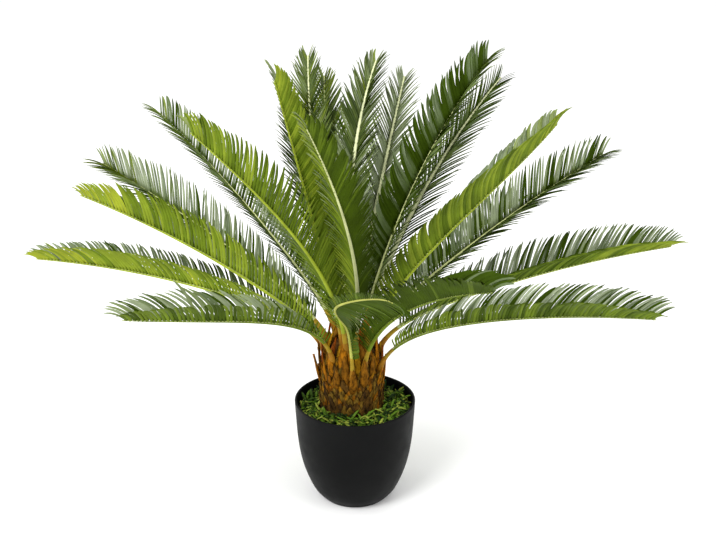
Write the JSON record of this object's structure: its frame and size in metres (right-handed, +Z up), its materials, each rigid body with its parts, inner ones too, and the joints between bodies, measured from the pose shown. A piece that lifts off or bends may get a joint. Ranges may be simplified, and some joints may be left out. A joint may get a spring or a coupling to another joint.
{
  "type": "potted artificial cycad",
  "caption": "Artificial cycad with a crown of arching fronds on a short scaly trunk, set in a round dark plastic pot with a moss top.",
  "frame": {"origin": "middle of the pot's flat underside", "axes": "+Z up, +Y away from the viewer who sees the pictured side, +X to that viewer's right"},
  "size_m": [0.943, 0.7351, 0.6591],
  "materials": {
    "pot": "smooth matt charcoal plastic",
    "filling": "rough cast cement",
    "moss": "loose dyed fibre strips",
    "trunk": "moulded scales, matt",
    "frond": "satin leaf plastic"
  },
  "bodies": {
    "root": {"pot": "pot", "filling": "filling", "moss": "moss", "trunk": "trunk", "frond_low_1": "frond", "frond_low_2": "frond", "frond_low_3": "frond", "frond_low_4": "frond", "frond_low_5": "frond", "frond_low_6": "frond", "frond_low_7": "frond", "frond_low_8": "frond", "frond_low_9": "frond", "frond_low_10": "frond", "frond_middle_1": "frond", "frond_middle_2": "frond", "frond_middle_3": "frond", "frond_middle_4": "frond", "frond_middle_5": "frond", "frond_middle_6": "frond", "frond_middle_7": "frond", "frond_middle_8": "frond", "frond_top_1": "frond", "frond_top_2": "frond", "frond_top_3": "frond", "frond_top_4": "frond", "frond_top_5": "frond", "frond_top_6": "frond", "frond_top_7": "frond"}
  },
  "joints": []
}
